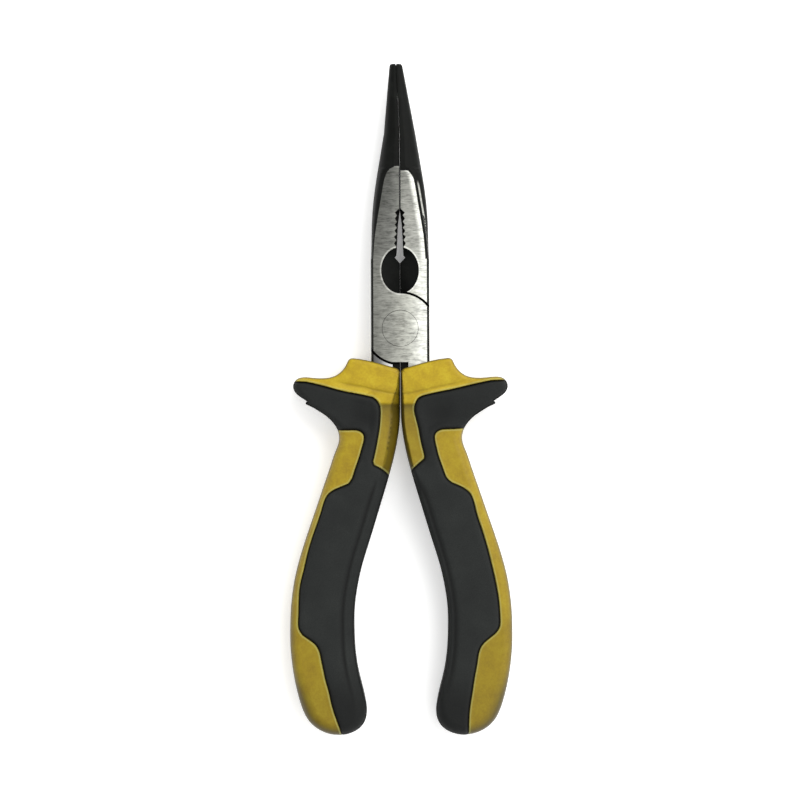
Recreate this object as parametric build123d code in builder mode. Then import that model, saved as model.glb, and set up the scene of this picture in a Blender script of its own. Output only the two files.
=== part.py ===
"""Long nose pliers, 200 mm class, with side cutter, pipe grip and two-component handle grips.

Two forged steel halves cross at a lap joint and turn on one riveted pin. Each half carries a hard yellow grip
core over its tang, and each core carries a soft black overmould.

Row frame, millimetres: the tool lies flat. X runs across it, +Y points from the pivot to the nose tip, +Z is up.
The origin is the bottom centre of the whole tool, so z = 0 is the surface it lies on. All profiles are written
about the pivot axis, on the plane MID, whose origin is the pivot axis at the tool's middle plane.
"""
from build123d import *
import math
import os

# ---------------------------------------------------------------- driving dimensions
OVERALL_LENGTH = 200.0
NOSE_REACH = 79.0            # pivot axis to nose tip
PIVOT_Y = OVERALL_LENGTH / 2 - NOSE_REACH
GRIP_HALF_T = 7.0            # half the thickness of the grips
Z_MID = GRIP_HALF_T          # height of the middle plane over the rest plane
HEAD_HALF_T = 5.0            # half the thickness of the steel head
HEAD_HALF_W = 8.72           # half the width of the head at the joint
HEAD_FACE_HALF_W = 7.95      # half the width of the ground flat on the head
LAP_GAP = 0.03               # each half stops this far from the middle plane
PLATE_R = 10.33              # round shoulder of a joint plate
SHOULDER_R = 11.03           # matching hollow in the other half
TANG_HALF_T = 2.6
ROOT_HALF_T = 3.4
ROOT_R = 10.6                # top of the web between the tang roots
WEB_EDGE = 0.05              # the two webs stop this far from the middle
RIVET_SHANK_R = 3.6
RIVET_HEAD_R = 5.36
RIVET_HEAD_T = 2.0
RIVET_RUN = 0.04             # radial running clearance in the turning half
RIVET_FIT = 0.02             # radial clearance in the half that holds the rivet
RIM = 0.05                   # chamfer round the rivet heads and their seats
JAW_GAP = 0.015              # each jaw face stops this far from the seam when closed
JAW_CHAMFER = 0.22           # broken edges along the jaw faces
BEVEL = 0.85                 # ground bevel beside the flat, on the front of the right jaw and the back of the left
NOSE_LEAN = 1.05             # the last stretch of the nose leans this far to -X at the tip
LEAN_FROM = 58.3
SERRATION_PITCH = 1.0
SERRATION_DEPTH = 0.16
OVAL_A, OVAL_B, OVAL_Y = 5.6, 6.88, 17.24      # cutter window
BLADE_SLOPE = 0.55           # rise of a cutter bevel per mm from the edge
WEB_HALF_T = 1.5             # half the thickness of the web between the pipe-grip teeth
OVERMOULD_T = 1.5            # wall of the soft overmould
COLLAR_HALF_T = 7.0          # collar and finger guard
STRIP_HALF_T = 6.3           # hard core where it shows beside the overmould
COLLAR_FILLET = 1.1
BAR_FILLET = 3.2
CORE_FILLET = 2.6

MID = Plane(origin=(0, PIVOT_Y, Z_MID))


def across(y):
    """Section plane square to Y at height y over the pivot: local x is +X, local y is -Z."""
    return Plane(origin=(0, PIVOT_Y + y, Z_MID), x_dir=(1, 0, 0), z_dir=(0, 1, 0))


def seam_x(y):
    """X of the line where the closed jaws meet."""
    if y <= LEAN_FROM:
        return 0.0
    return -NOSE_LEAN * (y - LEAN_FROM) / (NOSE_REACH - LEAN_FROM)


# (height over the pivot, half width of the flat, half width of the outline, half thickness), from the seam line
NOSE_LOWER = [
    (20.6, 7.95, 8.66, 5.0),
    (24.0, 7.75, 8.56, 5.0),
    (27.6, 7.42, 8.48, 5.0),
    (31.2, 6.85, 8.38, 5.0),
    (34.8, 6.25, 8.18, 5.0),
    (38.3, 5.65, 7.86, 5.0),
    (41.9, 5.06, 7.40, 5.0),
    (44.2, 4.60, 7.05, 5.0),
    (46.2, 3.90, 6.73, 5.0),
    (47.4, 2.95, 6.53, 5.0),
    (48.0, 1.70, 6.42, 5.0),
]
NOSE_UPPER = [
    (48.0, 1.70, 6.42, 5.0),
    (54.2, 1.49, 5.385, 4.31),
    (56.3, 1.42, 5.03, 4.07),
    (58.3, 1.35, 4.70, 3.85),
    (68.5, 0.99, 3.30, 2.75),
    (71.5, 0.89, 2.89, 2.43),
    (NOSE_REACH - 0.45, 0.64, 1.92, 1.67),
    (NOSE_REACH, 0.50, 1.62, 1.36),
]
# how far each jaw face stands off the seam, (height, distance): the tips touch, with a trace of light below them
NOSE_GAP = [(20.6, JAW_GAP), (47.4, JAW_GAP), (48.0, 0.024), (54.2, 0.024), (56.3, 0.008), (58.3, 0.024), (68.5, 0.02), (71.5, 0.008), (NOSE_REACH - 0.45, 0.008), (NOSE_REACH, 0.2)]
# inner outline of the pipe grip, (distance from the seam, height): valleys and crests in turn
TEETH = [
    (0.02, 35.7), (1.50, 34.4), (0.88, 33.6), (1.50, 32.6), (0.92, 31.7), (1.52, 30.8), (0.92, 29.9),
    (1.62, 29.0), (0.98, 28.0), (1.74, 27.2), (1.10, 26.2), (1.76, 25.3), (1.12, 24.2), (1.30, 23.4),
]
# the open slot between the two webs, (distance from the seam, height)
SLOT = [(0.0, 35.4), (0.27, 33.2), (0.55, 31.0), (0.74, 27.6), (0.90, 24.0), (1.04, 21.9), (1.60, 21.25), (0.0, 19.55)]


# tang inside the grip, (distance from the middle, height)
TANG_INNER = [(1.6, -12.0), (3.4, -20.0), (5.0, -30.0), (9.0, -45.0), (13.6, -58.0), (17.6, -71.0), (20.2, -84.0), (20.2, -95.0), (18.6, -104.0)]
TANG_OUTER = [(23.6, -105.0), (26.2, -95.0), (26.6, -84.0), (24.4, -71.0), (20.8, -58.0), (16.6, -45.0), (12.8, -30.0), (10.6, -20.0), (8.4, -12.0)]


def side_points(side, points):
    return [(side * x, y) for x, y in points]


def nose_gap(y):
    for (y0, g0), (y1, g1) in zip(NOSE_GAP, NOSE_GAP[1:]):
        if y0 <= y <= y1:
            return g0 + (g1 - g0) * (y - y0) / (y1 - y0)
    return JAW_GAP


def nose_section(side, y, flat, out, half_t):
    """One section of a jaw, square to Y. side is -1 for the left jaw and 1 for the right."""
    gap = nose_gap(y)
    c = seam_x(y)
    inner, shoulder, edge = c + side * gap, c + side * flat, c + side * out
    broken = JAW_CHAMFER * math.sqrt(half_t / HEAD_HALF_T)
    bevel = max(0.06, BEVEL * min(1.0, max(0.0, (48.0 - y) / 3.6)))
    z = side * half_t                # the bevel lies on the -z side of the section (local y is -Z)
    start = (shoulder + side * bevel * 0.5, -z + side * bevel * 0.36)
    with BuildSketch(across(y)) as section:
        with BuildLine():
            Polyline((shoulder, z), (inner + side * broken, z), (inner, z - side * broken), (inner, side * broken - z), (inner + side * broken, -z), (shoulder - side * bevel * 0.5, -z))
            Line((shoulder - side * bevel * 0.5, -z), start)
            rx = abs(edge - shoulder)
            pts = []
            for k in range(1, 8):
                a = math.pi / 2 - k * math.pi / 8
                pts.append((shoulder + side * rx * max(0.0, math.cos(a)) ** 0.9, z * math.sin(a)))
            # the last point and the end direction give way to the bevel
            share = bevel / BEVEL
            (x6, y6), (x7, y7) = pts[-2:]
            pts[-1] = (x7 + (0.5 * (x6 + start[0]) - x7) * share, y7 + (0.5 * (y6 + start[1]) - y7) * share)
            dx, dy = start[0] - pts[-1][0], start[1] - pts[-1][1]
            n = math.hypot(dx, dy)
            ending = (-side * (1 - share) + dx / n * share, -0.25 * side * (1 - share) + dy / n * share)
            Spline((shoulder, z), *pts, start, tangents=[(side, -0.25 * side), ending])
        make_face()
    return section.sketch


def barrel():
    """Bar along Y with the cross-section of the head: flat faces that roll over into slightly barrelled edges."""
    e, w, t = HEAD_FACE_HALF_W, HEAD_HALF_W, HEAD_HALF_T
    with BuildPart() as bar:
        with BuildSketch(across(-40)):
            with BuildLine():
                Line((-e, t), (e, t))
                Spline((e, t), (e + 0.50, t - 0.55), (w - 0.03, t - 2.2), (w, 0), (w - 0.03, 2.2 - t), (e + 0.50, 0.55 - t), (e, -t))
                Line((e, -t), (-e, -t))
                Spline((-e, -t), (-e - 0.50, 0.55 - t), (-w + 0.03, 2.2 - t), (-w, 0), (-w + 0.03, t - 2.2), (-e - 0.50, t - 0.55), (-e, t))
            make_face()
        extrude(amount=62)
    return bar.part


def on_circle(radius, x):
    return math.sqrt(radius**2 - x**2)


def head_blank(side):
    """Lap-joint head of one half: its plate, the foot of its jaw and the root of its tang.
    side is -1 for the half with the left jaw, whose plate lies above the middle plane, and 1 for the other."""
    layer, jaw, tang = -side, side, -side
    w = HEAD_HALF_W
    with BuildPart() as block:
        # joint plate with its round shoulders
        with BuildSketch(MID.offset(LAP_GAP if layer > 0 else -HEAD_HALF_T)):
            with BuildLine():
                Polyline((jaw * JAW_GAP, 20.6), (jaw * 9.2, 20.6), (jaw * 9.2, -on_circle(PLATE_R, 9.2)))
                ThreePointArc((jaw * 9.2, -on_circle(PLATE_R, 9.2)), (jaw * 7.4, -on_circle(PLATE_R, 7.4)), (jaw * 2.53, -on_circle(PLATE_R, 2.53)))
                Polyline(
                    (jaw * 2.53, -on_circle(PLATE_R, 2.53)), (tang * 2.4, -on_circle(PLATE_R, 2.53)), (tang * 2.4, -12.4),
                    (tang * 9.2, -12.4), (tang * 9.2, on_circle(PLATE_R, w)), (tang * w, on_circle(PLATE_R, w)),
                )
                ThreePointArc((tang * w, on_circle(PLATE_R, w)), (tang * 5.2, on_circle(PLATE_R, 5.2)), (jaw * JAW_GAP, on_circle(PLATE_R, JAW_GAP)))
                Line((jaw * JAW_GAP, on_circle(PLATE_R, JAW_GAP)), (jaw * JAW_GAP, 20.6))
            make_face()
        extrude(amount=HEAD_HALF_T - LAP_GAP)
        # foot of the jaw and root of the tang in the other layer, hollowed to clear the other half's plate
        with BuildSketch(MID.offset(-HEAD_HALF_T if layer > 0 else -LAP_GAP)):
            with BuildLine():
                Polyline((jaw * JAW_GAP, 20.6), (jaw * 9.2, 20.6), (jaw * 9.2, on_circle(SHOULDER_R, w)), (jaw * w, on_circle(SHOULDER_R, w)))
                ThreePointArc((jaw * w, on_circle(SHOULDER_R, w)), (jaw * 5.2, on_circle(SHOULDER_R, 5.2)), (jaw * JAW_GAP, on_circle(SHOULDER_R, JAW_GAP)))
                Line((jaw * JAW_GAP, on_circle(SHOULDER_R, JAW_GAP)), (jaw * JAW_GAP, 20.6))
            make_face()
            with BuildLine():
                Polyline((tang * 2.3, -12.4), (tang * 9.2, -12.4), (tang * 9.2, -on_circle(SHOULDER_R, w)), (tang * w, -on_circle(SHOULDER_R, w)))
                ThreePointArc((tang * w, -on_circle(SHOULDER_R, w)), (tang * 5.2, -on_circle(SHOULDER_R, 5.2)), (tang * 2.3, -on_circle(SHOULDER_R, 2.3)))
                Line((tang * 2.3, -on_circle(SHOULDER_R, 2.3)), (tang * 2.3, -12.4))
            make_face()
        extrude(amount=HEAD_HALF_T + LAP_GAP)
        # web of the tang root between the layers
        with BuildSketch(MID.offset(-ROOT_HALF_T)):
            with BuildLine():
                Polyline((tang * WEB_EDGE, -13.0), (tang * 9.2, -13.0), (tang * 9.2, -11.4), (tang * 4.0, -on_circle(ROOT_R, 4.0)))
                ThreePointArc((tang * 4.0, -on_circle(ROOT_R, 4.0)), (tang * 2.2, -on_circle(ROOT_R, 2.2)), (tang * WEB_EDGE, -on_circle(ROOT_R, WEB_EDGE)))
                Line((tang * WEB_EDGE, -on_circle(ROOT_R, WEB_EDGE)), (tang * WEB_EDGE, -13.0))
            make_face()
        extrude(amount=2 * ROOT_HALF_T)
        # the web runs on into the half's own plate
        with BuildSketch(MID.offset(LAP_GAP if layer > 0 else -ROOT_HALF_T)):
            with BuildLine():
                Polyline((tang * WEB_EDGE, -9.0), (tang * 3.0, -9.0), (tang * 3.0, -11.6), (tang * WEB_EDGE, -11.6), (tang * WEB_EDGE, -9.0))
            make_face()
        extrude(amount=ROOT_HALF_T - LAP_GAP)
        add(barrel(), mode=Mode.INTERSECT)
    return block.part


def tang_bar(side):
    """Flat steel tang that runs down inside the grip."""
    tang = -side
    with BuildPart() as bar:
        with BuildSketch(MID.offset(-TANG_HALF_T)):
            with BuildLine():
                Spline(*[(tang * x, y) for x, y in TANG_INNER])
                Line((tang * TANG_INNER[-1][0], TANG_INNER[-1][1]), (tang * TANG_OUTER[0][0], TANG_OUTER[0][1]))
                Spline(*[(tang * x, y) for x, y in TANG_OUTER])
                Line((tang * TANG_OUTER[-1][0], TANG_OUTER[-1][1]), (tang * TANG_INNER[0][0], TANG_INNER[0][1]))
            make_face()
        extrude(amount=2 * TANG_HALF_T)
    return bar.part


def cutter_pocket(side):
    """Oval window cut from both faces down to the sloping bevels of the cutter."""
    jaw = side
    with BuildPart() as pocket:
        with BuildSketch(MID.offset(-HEAD_HALF_T - 0.1)):
            with Locations((0, OVAL_Y)):
                Ellipse(OVAL_A, OVAL_B)
        extrude(amount=2 * HEAD_HALF_T + 0.2)
        with BuildSketch(across(8)):
            for s in (-1, 1):
                with BuildLine():
                    Polyline(
                        (jaw * -0.5, s * 0.05), (jaw * JAW_GAP, s * 0.05), (jaw * 6.0, s * (0.05 + BLADE_SLOPE * (6.0 - JAW_GAP))),
                        (jaw * 6.0, s * 6.0), (jaw * -0.5, s * 6.0), (jaw * -0.5, s * 0.05),
                    )
                make_face()
        extrude(amount=18, mode=Mode.INTERSECT)
    return pocket.part


def forged_half(side):
    """One forged half. side -1: left jaw, front plate, right tang. side 1: right jaw, rear plate, left tang."""
    layer, jaw = -side, side
    head, bar, pocket = head_blank(side), tang_bar(side), cutter_pocket(side)
    clear = RIVET_FIT if layer > 0 else RIVET_RUN
    with BuildPart() as half:
        # nose: a lower stretch with the ground flat, then the tapering half-round tip
        loft([nose_section(jaw, *s) for s in NOSE_LOWER + NOSE_UPPER[1:]], ruled=True)
        add(head)
        add(bar)
        # pipe grip teeth in the outer layers
        for z0 in (WEB_HALF_T, -HEAD_HALF_T - 0.1):
            with BuildSketch(MID.offset(z0)):
                with BuildLine():
                    Polyline(*side_points(jaw, TEETH), (-jaw * 0.5, 23.4), (-jaw * 0.5, 35.7), (jaw * TEETH[0][0], TEETH[0][1]))
                make_face()
            extrude(amount=HEAD_HALF_T - WEB_HALF_T + 0.1, mode=Mode.SUBTRACT)
        # slot right through between the webs
        with BuildSketch(MID.offset(-HEAD_HALF_T - 0.1)):
            with BuildLine():
                Polyline(*[(jaw * (x + JAW_GAP * 0.5), y) for x, y in SLOT], (-jaw * 0.5, 19.55), (-jaw * 0.5, 35.4), (jaw * JAW_GAP * 0.5, 35.4))
            make_face()
        extrude(amount=2 * HEAD_HALF_T + 0.2, mode=Mode.SUBTRACT)
        add(pocket, mode=Mode.SUBTRACT)
        # fine serrations across the gripping face of the nose, stopping short of its front and back
        for reach, y_from, y_to in ((4.3, 37.2, 57.9), (0.95, 57.9, NOSE_REACH - 1.6)):
            with BuildSketch(MID.offset(-reach)):
                for i in range(int((y_to - y_from) / SERRATION_PITCH)):
                    y = y_from + SERRATION_PITCH * i
                    h = 0.34 * SERRATION_PITCH
                    c = seam_x(y)
                    gap = nose_gap(y)
                    with BuildLine():
                        Polyline(
                            (c - jaw * 0.3, y - h), (c + jaw * gap * 0.5, y - h), (c + jaw * (gap + SERRATION_DEPTH), y),
                            (c + jaw * gap * 0.5, y + h), (c - jaw * 0.3, y + h), (c - jaw * 0.3, y - h),
                        )
                    make_face()
            extrude(amount=2 * reach, mode=Mode.SUBTRACT)
        # rivet hole and the seat of its head
        with BuildSketch(MID.offset(-HEAD_HALF_T - 0.1)):
            Circle(RIVET_SHANK_R + clear)
        extrude(amount=2 * HEAD_HALF_T + 0.2, mode=Mode.SUBTRACT)
        with BuildSketch(MID.offset(layer * (HEAD_HALF_T - RIVET_HEAD_T - clear))):
            Circle(RIVET_HEAD_R + clear)
        extrude(amount=layer * (RIVET_HEAD_T + 1), mode=Mode.SUBTRACT)
        with BuildSketch(MID.offset(layer * HEAD_HALF_T)):
            Circle(RIVET_HEAD_R + clear + RIM)
        extrude(amount=-layer * RIM, taper=45, mode=Mode.SUBTRACT)
    return half.part


# ---------------------------------------------------------------- grip outlines, (distance from the middle, height over the pivot)
COLLAR_TOP = [(0.12, -12.15), (4.0, -11.02), (8.24, -9.88), (11.82, -9.14), (15.3, -8.72)]
GUARD = [
    (15.3, -8.72), (16.0, -10.6), (17.4, -12.6), (19.4, -14.05), (22.0, -14.7), (25.2, -14.68), (28.2, -14.42),
    (30.3, -14.75), (31.5, -15.8), (31.9, -17.3), (31.3, -18.9), (29.8, -20.25), (27.7, -21.6),
]
COLLAR_LEDGE = [(27.7, -21.6), (20.0, -21.2), (13.3, -19.25), (0.12, -21.3), (0.12, -12.15)]
BAR_OUTER = [
    (28.6, -22.35), (26.6, -23.15), (24.3, -24.5), (22.4, -25.75), (20.85, -27.1), (19.4, -28.9), (18.5, -31.0), (18.35, -33.2),
    (19.49, -36.67), (21.13, -41.43), (22.77, -46.19), (24.40, -50.95), (26.04, -55.72), (27.68, -60.48),
    (29.25, -65.24), (30.65, -70.0), (31.75, -74.76), (32.48, -79.52), (32.91, -84.29), (33.06, -89.05),
    (33.04, -93.81), (32.68, -98.57), (32.02, -103.33), (31.05, -108.1), (29.75, -112.6), (27.8, -116.6),
    (24.2, -119.7), (19.6, -121.0), (15.0, -120.3), (11.9, -118.3), (10.45, -115.3), (10.6, -111.6), (11.5, -107.4),
    (12.6, -103.0), (13.4, -98.57), (13.85, -93.81), (14.0, -89.05),
    (13.95, -84.29), (13.45, -79.52), (12.6, -74.76), (11.45, -70.0), (10.0, -65.24), (8.5, -60.48), (7.05, -55.72),
    (5.6, -50.95), (4.15, -46.19), (2.8, -41.43), (1.62, -36.67), (0.74, -31.9), (0.22, -27.5), (0.13, -23.0),
]
BAR_CLOSE = [(0.13, -23.0), (0.12, -16.5), (18.0, -16.5), (27.4, -20.2), (28.6, -22.35)]
# plan of the black overmould, one run after another; the left and the right grip are not quite mirror images
SEAMS_LEFT = {
    "edge": [(34.5, -15.8), (30.0, -15.75), (27.9, -15.86), (23.0, -17.0), (17.77, -18.45), (10.2, -20.0), (8.2, -20.5)],
    "strip": [(8.2, -20.5), (6.75, -21.8), (6.1, -24.0), (6.1, -26.5), (6.3, -29.0), (6.85, -32.6), (7.65, -36.67), (8.3, -39.5)],
    "cross": [(8.3, -39.5), (8.0, -40.6), (5.2, -42.17), (3.48, -43.8), (0.6, -46.4)],
    "end": [(17.3, -124.0), (17.9, -120.0), (18.9, -117.0), (20.1, -113.5), (20.9, -110.5), (21.55, -107.5), (22.4, -104.5),
            (23.05, -101.5), (23.65, -98.6), (24.25, -95.9), (25.3, -93.9), (27.2, -92.3), (29.2, -90.9)],
    "outer": [(29.2, -90.9), (30.25, -89.2), (30.45, -86.0), (30.3, -80.5), (29.85, -76.0), (28.85, -71.8), (27.4, -65.8),
              (25.5, -59.9), (23.45, -53.9), (22.5, -50.9), (21.5, -49.2), (18.8, -47.5), (15.6, -46.2)],
    "window": [(15.6, -46.2), (14.55, -44.8), (13.75, -42.6), (12.75, -39.7), (12.05, -37.6), (11.4, -35.3), (10.85, -33.2),
               (11.0, -31.5), (12.3, -30.4), (15.0, -30.12), (20.5, -30.1)],
}
SEAMS_RIGHT = {
    "edge": [(34.5, -15.4), (30.0, -15.45), (26.8, -15.6), (22.9, -16.4), (15.1, -18.2), (9.2, -19.4), (6.9, -19.95)],
    "strip": [(6.9, -19.95), (5.3, -20.8), (4.5, -22.1), (4.2, -23.7), (4.3, -25.2), (4.7, -26.8), (5.15, -28.6), (5.6, -30.7),
              (6.0, -33.1), (6.55, -35.5), (7.1, -37.8)],
    "cross": [(7.1, -37.8), (7.0, -38.8), (5.0, -40.5), (3.4, -42.0), (0.6, -44.4)],
    "end": [(19.8, -124.0), (19.85, -119.5), (19.9, -116.0), (20.1, -113.5), (20.5, -110.5), (21.0, -107.5), (21.45, -104.5),
            (22.0, -101.5), (22.5, -98.6), (23.0, -95.9), (24.0, -93.9), (25.8, -92.2), (27.7, -90.7)],
    "outer": [(27.7, -90.7), (28.9, -89.1), (29.25, -86.0), (28.85, -80.5), (28.1, -76.0), (27.2, -71.8), (25.75, -65.8),
              (24.0, -59.9), (22.15, -53.9), (21.4, -50.9), (20.6, -49.2), (18.3, -47.3), (15.2, -45.9)],
    "window": [(15.2, -45.9), (13.7, -44.6), (12.7, -42.4), (11.75, -39.7), (11.05, -37.6), (10.5, -35.3), (10.05, -33.2),
               (10.2, -31.4), (11.4, -30.3), (14.0, -29.9), (20.5, -29.6)],
}


def inset(points, distance, ends=(None, None)):
    """Points moved to the left of the path by a distance, so a run drawn clockwise moves outwards.
    ends gives the exact positions of the first and last point."""
    moved = []
    for k, (x, y) in enumerate(points):
        a = points[max(k - 1, 0)]
        b = points[min(k + 1, len(points) - 1)]
        dx, dy = b[0] - a[0], b[1] - a[1]
        n = math.hypot(dx, dy)
        moved.append((x + distance * dy / n, y - distance * dx / n))
    if ends[0]:
        moved[0] = ends[0]
    if ends[1]:
        moved[-1] = ends[1]
    return moved


def slab(side, half_t, runs, closing, radius):
    """A plate drawn by smooth runs and closed by straight lines, with both rims of the smooth runs rounded."""
    with BuildPart() as body:
        with BuildSketch(MID.offset(-half_t)):
            with BuildLine():
                for run in runs:
                    Spline(*side_points(side, run))
                Polyline(*side_points(side, closing))
            make_face()
        extrude(amount=2 * half_t)
        if radius:
            rims = []
            for run in runs:
                mid = run[len(run) // 2]
                for z in (Z_MID - half_t, Z_MID + half_t):
                    spot = Vector(side * mid[0], PIVOT_Y + mid[1], z)
                    rims.append(min(body.part.edges(), key=lambda e: e.distance_to(spot)))
            fillet(rims, radius)
    return body.part


def overmould_region(side):
    q = SEAMS_LEFT if side < 0 else SEAMS_RIGHT
    with BuildPart() as region:
        with BuildSketch(MID.offset(-COLLAR_HALF_T - 1)):
            with BuildLine():
                Polyline(*side_points(side, q["edge"][:3]))
                Spline(*side_points(side, q["edge"][2:]))
                Spline(*side_points(side, q["strip"]))
                Polyline(*side_points(side, q["cross"][:2]))
                Spline(*side_points(side, q["cross"][1:]))
                Polyline(*side_points(side, [q["cross"][-1], (-0.5, -60.0), (4.0, -90.0), (4.0, -124.0), q["end"][0]]))
                Spline(*side_points(side, q["end"]))
                Spline(*side_points(side, q["outer"]))
                Spline(*side_points(side, q["window"]))
                Polyline(*side_points(side, [q["window"][-1], (31.0, -25.6), (34.5, -23.5), q["edge"][0]]))
            make_face()
        extrude(amount=2 * COLLAR_HALF_T + 2)
    return region.part


def grip_shell(side):
    """Soft overmould of one grip: an even skin over the hard core, cut to its plan."""
    collar = slab(side, COLLAR_HALF_T, [COLLAR_TOP, GUARD], COLLAR_LEDGE, COLLAR_FILLET)
    bar = slab(side, GRIP_HALF_T, [BAR_OUTER], BAR_CLOSE, BAR_FILLET)
    guard_in = inset(GUARD, OVERMOULD_T)
    collar_in = slab(
        side, COLLAR_HALF_T - OVERMOULD_T, [guard_in],
        [guard_in[-1], (20.0, -20.5), (10.0, -19.2), (2.2, -19.2), (2.2, -13.2), guard_in[0]], 0,
    )
    bar_run = inset(BAR_OUTER[1:], OVERMOULD_T)
    bar_run = bar_run[:-1:2] + [bar_run[-1]]
    bar_in = slab(
        side, GRIP_HALF_T - OVERMOULD_T, [bar_run], [bar_run[-1], (1.95, -18.0), (17.0, -17.0), (24.0, -19.0), bar_run[0]], 1.9,
    )
    region = overmould_region(side)
    with BuildPart() as shell:
        add(collar)
        add(bar)
        add(region, mode=Mode.INTERSECT)
        add(collar_in, mode=Mode.SUBTRACT)
        add(bar_in, mode=Mode.SUBTRACT)
    return shell.part


def grip_core(side, shell):
    """Hard core of one grip: collar, guard and handle bar, less the overmould and the steel inside."""
    collar = slab(side, COLLAR_HALF_T, [COLLAR_TOP, GUARD], COLLAR_LEDGE, COLLAR_FILLET)
    bar = slab(side, STRIP_HALF_T, [BAR_OUTER], BAR_CLOSE, CORE_FILLET)
    with BuildPart() as core:
        add(collar)
        add(bar)
        add(shell, mode=Mode.SUBTRACT)
        add(head_blank(-side), mode=Mode.SUBTRACT)
        add(tang_bar(-side), mode=Mode.SUBTRACT)
    return core.part


os.makedirs("parts", exist_ok=True)

# ---------------------------------------------------------------- steel
with BuildPart() as jaw_half_front:      # left jaw, front plate, right tang
    add(forged_half(-1))
jaw_half_front.part.label = "jaw_half_front"
export_step(jaw_half_front.part, "parts/jaw_half_front.step")

with BuildPart() as jaw_half_rear:       # right jaw, rear plate, left tang
    add(forged_half(1))
jaw_half_rear.part.label = "jaw_half_rear"
export_step(jaw_half_rear.part, "parts/jaw_half_rear.step")

with BuildPart() as pivot_rivet:
    with BuildSketch(MID.offset(-HEAD_HALF_T)):
        Circle(RIVET_SHANK_R)
    extrude(amount=2 * HEAD_HALF_T)
    for z0 in (HEAD_HALF_T - RIVET_HEAD_T, -HEAD_HALF_T):
        with BuildSketch(MID.offset(z0)):
            Circle(RIVET_HEAD_R)
        extrude(amount=RIVET_HEAD_T)
    rims = [e for e in pivot_rivet.part.edges().filter_by(GeomType.CIRCLE)
            if abs(e.radius - RIVET_HEAD_R) < 0.01 and abs(abs(e.center().Z - Z_MID) - HEAD_HALF_T) < 0.01]
    chamfer(rims, RIM)
pivot_rivet.part.label = "pivot_rivet"
export_step(pivot_rivet.part, "parts/pivot_rivet.step")

# ---------------------------------------------------------------- grips
with BuildPart() as grip_overmould_right:
    add(grip_shell(1))
grip_overmould_right.part.label = "grip_overmould_right"
export_step(grip_overmould_right.part, "parts/grip_overmould_right.step")

with BuildPart() as grip_overmould_left:
    add(grip_shell(-1))
grip_overmould_left.part.label = "grip_overmould_left"
export_step(grip_overmould_left.part, "parts/grip_overmould_left.step")

with BuildPart() as grip_core_right:
    add(grip_core(1, grip_overmould_right.part))
grip_core_right.part.label = "grip_core_right"
export_step(grip_core_right.part, "parts/grip_core_right.step")

with BuildPart() as grip_core_left:
    add(grip_core(-1, grip_overmould_left.part))
grip_core_left.part.label = "grip_core_left"
export_step(grip_core_left.part, "parts/grip_core_left.step")

for piece in (jaw_half_front, jaw_half_rear, pivot_rivet, grip_overmould_right, grip_overmould_left, grip_core_right, grip_core_left):
    p = piece.part
    print(p.label, "solids", len(p.solids()), "valid", p.is_valid, "volume %.1f" % p.volume)
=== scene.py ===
import math
import bpy
import bmesh
import numpy as np
from mathutils import Vector, Matrix
from mathutils.geometry import delaunay_2d_cdt


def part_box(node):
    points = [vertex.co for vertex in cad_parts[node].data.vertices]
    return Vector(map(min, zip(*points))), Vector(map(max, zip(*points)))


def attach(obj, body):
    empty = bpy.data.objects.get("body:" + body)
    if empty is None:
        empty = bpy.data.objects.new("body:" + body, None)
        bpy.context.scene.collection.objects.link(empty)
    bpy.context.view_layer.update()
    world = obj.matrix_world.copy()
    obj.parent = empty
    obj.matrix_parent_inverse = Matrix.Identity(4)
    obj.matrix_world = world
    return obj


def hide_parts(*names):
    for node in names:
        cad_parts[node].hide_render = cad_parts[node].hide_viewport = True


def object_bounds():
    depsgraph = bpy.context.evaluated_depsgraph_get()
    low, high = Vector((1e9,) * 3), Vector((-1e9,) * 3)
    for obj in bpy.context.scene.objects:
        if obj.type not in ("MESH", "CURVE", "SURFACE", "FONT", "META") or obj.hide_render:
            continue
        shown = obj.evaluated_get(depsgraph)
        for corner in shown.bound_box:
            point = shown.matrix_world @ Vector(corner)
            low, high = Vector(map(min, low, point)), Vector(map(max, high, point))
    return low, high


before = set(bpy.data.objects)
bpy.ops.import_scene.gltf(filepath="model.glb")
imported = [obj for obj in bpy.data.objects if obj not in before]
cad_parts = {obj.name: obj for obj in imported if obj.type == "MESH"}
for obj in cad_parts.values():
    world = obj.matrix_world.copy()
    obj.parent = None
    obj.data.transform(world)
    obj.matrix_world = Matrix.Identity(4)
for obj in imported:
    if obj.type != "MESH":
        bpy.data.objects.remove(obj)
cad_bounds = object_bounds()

# ------------------------------------------------------------------ the part's frame, millimetres about the pivot
lo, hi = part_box("pivot_rivet")
PX, PY, PZ = [(lo[i] + hi[i]) / 2 * 1000 for i in range(3)]     # pivot axis and middle plane
HEAD_T = (hi[2] - lo[2]) / 2 * 1000

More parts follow.
